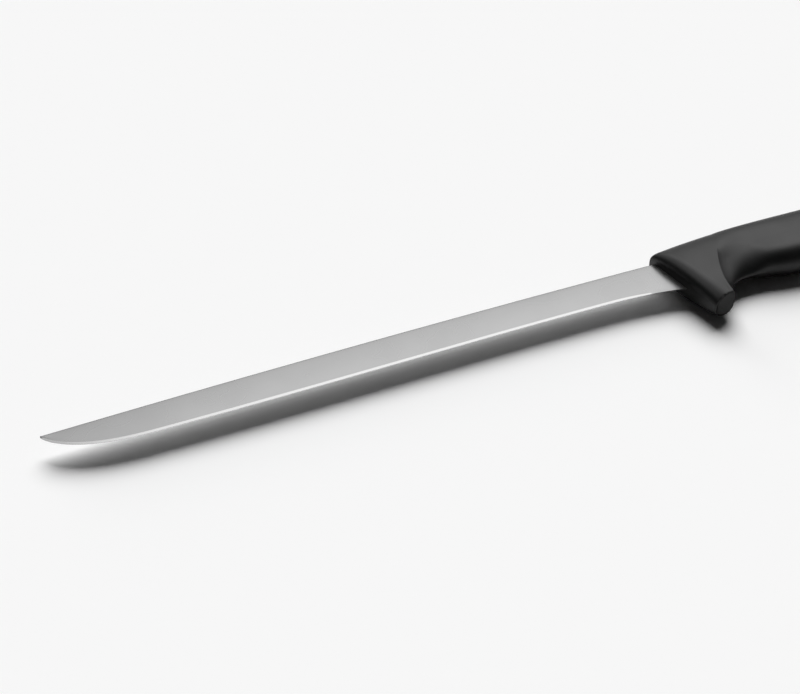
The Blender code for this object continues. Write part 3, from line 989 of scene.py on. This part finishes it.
nose_of_core = nose_sections(RIM)[CORE_FIRST_NOSE_SLICE:]
neck_of_core = groove_sections(RIM)[:CORE_GROOVE_SLICES]
bm = skin(nose_of_core + cheek_sections(RIM) + neck_of_core)
close_ends(bm)
cut_off_tip(bm)
close_ends(bm)
core = piece_from(bm, "core_moulding", core_plastic, CORE_SHARP_ANGLE)
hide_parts("handle_core")

# %% [markdown]
# The table is a plain, pale sheet. It is wide enough that its edge is never seen.

# %% Table
TABLE_COLOUR = "#f7f7f7"
TABLE_SIZE = 6.0

table_material, tree, shader = new_material("white_laminate")
shader.inputs["Base Color"].default_value = linear(TABLE_COLOUR)
shader.inputs["Roughness"].default_value = 1.0
shader.inputs["Specular IOR Level"].default_value = 0.0
bm = bmesh.new()
bmesh.ops.create_grid(bm, x_segments=4, y_segments=4, size=TABLE_SIZE / 2)
mesh = bpy.data.meshes.new("table")
bm.to_mesh(mesh)
bm.free()
mesh.materials.append(table_material)
table = bpy.data.objects.new("table", mesh)
scene.collection.objects.link(table)
print("the table is", TABLE_SIZE, "m wide")

# %% [markdown]
# Black plastic and satin steel show their surroundings more than their own colour, so the studio comes
# first. A wide soft window hangs over the knife and reaches down behind it, and the side of the camera
# stays dark. It is drawn in the world: the direction of a ray, divided by its height, says where it meets
# a ceiling one metre up, and the window is laid out on that ceiling. Only reflections see it.
#
# Each soft edge is one row of a table, with the way that it is measured, where it starts and ends on the
# ceiling in metres, and its levels there. The window ends just in front of the knife, is brightest right
# above it, and dims in two steps towards the back. On the left it ends, after a part at half its level,
# and it fades away on the right. Low down on the camera's side there is a faint glow.

# %% Studio in the reflections
WINDOW_LEVEL = 2.8
WINDOW_LEVEL_BEHIND = 1.05
DARK_LEVEL = 0.03
LOW_LEVEL = 0.12
FLATTEST_RAY = 0.02
SOFT_EDGES = [
    ("MULTIPLY", "back", -0.03, 0.3, 0.0, 1.0),
    ("MULTIPLY", "back", 0.6, 2.0, WINDOW_LEVEL, WINDOW_LEVEL_BEHIND),
    ("MULTIPLY", "back", 2.0, 6.0, 1.0, 0.5),
    ("MULTIPLY", "right", -1.05, -0.85, 0.0, 1.0),
    ("MULTIPLY", "right", -0.15, 0.3, 0.5, 1.0),
    ("MULTIPLY", "right", 0.9, 2.3, 1.0, 0.3),
    ("MAXIMUM", "back", -3.0, -1.6, LOW_LEVEL, DARK_LEVEL),
]

world = bpy.data.worlds.new("studio")
scene.world = world
world.use_nodes = True
world.cycles_visibility.diffuse = False
tree = world.node_tree
tree.nodes.clear()

ray = add_node(tree, "ShaderNodeTexCoord")
parts = add_node(tree, "ShaderNodeSeparateXYZ", Vector=ray.outputs["Generated"])
up = add_node(tree, "ShaderNodeMath", {"operation": "MAXIMUM"}, _0=parts.outputs["Z"], _1=FLATTEST_RAY)
ceiling = {}
for way, axis in (("right", "X"), ("back", "Y")):
    ceiling[way] = add_node(
        tree,
        "ShaderNodeMath",
        {"operation": "DIVIDE"},
        _0=parts.outputs[axis],
        _1=up.outputs[0],
    )

level = 1.0
for operation, way, start, end, level_at_start, level_at_end in SOFT_EDGES:
    edge = add_node(
        tree,
        "ShaderNodeMapRange",
        {"interpolation_type": "SMOOTHSTEP"},
        Value=ceiling[way].outputs[0],
        From_Min=start,
        From_Max=end,
        To_Min=level_at_start,
        To_Max=level_at_end,
    )
    joined = add_node(
        tree,
        "ShaderNodeMath",
        {"operation": operation},
        _0=level,
        _1=edge.outputs["Result"],
    )
    level = joined.outputs[0]
print("soft edges in the studio:", len(SOFT_EDGES))

# %% [markdown]
# What the camera itself sees beyond the table is as pale as the table, so no horizon shows from any side.
# The Standard view shows each colour about as it is written.

# %% Pale background
path = add_node(tree, "ShaderNodeLightPath")
seen = add_node(
    tree,
    "ShaderNodeMix",
    {"data_type": "FLOAT"},
    _0=path.outputs["Is Camera Ray"],
    _2=level,
    _3=linear(TABLE_COLOUR)[0],
)
background = add_node(tree, "ShaderNodeBackground", Color=(1, 1, 1, 1), Strength=seen.outputs[0])
add_node(tree, "ShaderNodeOutputWorld", Surface=background.outputs[0])
scene.view_settings.view_transform = "Standard"
print("the background's level is", round(linear(TABLE_COLOUR)[0], 3))

# %% [markdown]
# The light on the table comes from a soft lamp high up behind the knife and a little to the right, so the
# knife's shadow falls towards the camera, dark close under the blade and soft further out. A sun lamp
# with a wide disc does that evenly over the whole table. A second, weak lamp low behind the knife shines
# through the gap under the blade and keeps the shadow there from going black; the handle has no gap, and
# its shadow stays dark. A third, weakest and widest, fills in from straight above. Together they give the
# table just its own colour.

# %% Soft lamps
LAMP_HEIGHT = math.radians(50)
LAMP_SIDE = math.radians(24)
LAMP_WIDTH = math.radians(47)
LOW_LAMP_HEIGHT = math.radians(18)
LOW_LAMP_WIDTH = math.radians(24)
LOW_LAMP_SHARE = 0.07
TOP_LAMP_WIDTH = math.radians(130)
TOP_LAMP_SHARE = 0.02


def soft_lamp(name, height, side, width, share):
    """A wide sun lamp at a height above the horizon, turned by side from straight behind to the right."""
    lamp = bpy.data.lights.new(name, "SUN")
    lamp.angle = width
    lamp.energy = share * math.pi / math.sin(height)
    lamp_object = bpy.data.objects.new(name, lamp)
    lamp_object.rotation_euler = (height - math.pi / 2, 0.0, -side)
    lamp_object.visible_glossy = False
    scene.collection.objects.link(lamp_object)
    print(name, "has the strength", round(lamp.energy, 2))


soft_lamp("soft_lamp", LAMP_HEIGHT, LAMP_SIDE, LAMP_WIDTH, 1.0 - LOW_LAMP_SHARE - TOP_LAMP_SHARE)
soft_lamp("low_lamp", LOW_LAMP_HEIGHT, 0.0, LOW_LAMP_WIDTH, LOW_LAMP_SHARE)
soft_lamp("top_lamp", math.pi / 2, 0.0, TOP_LAMP_WIDTH, TOP_LAMP_SHARE)
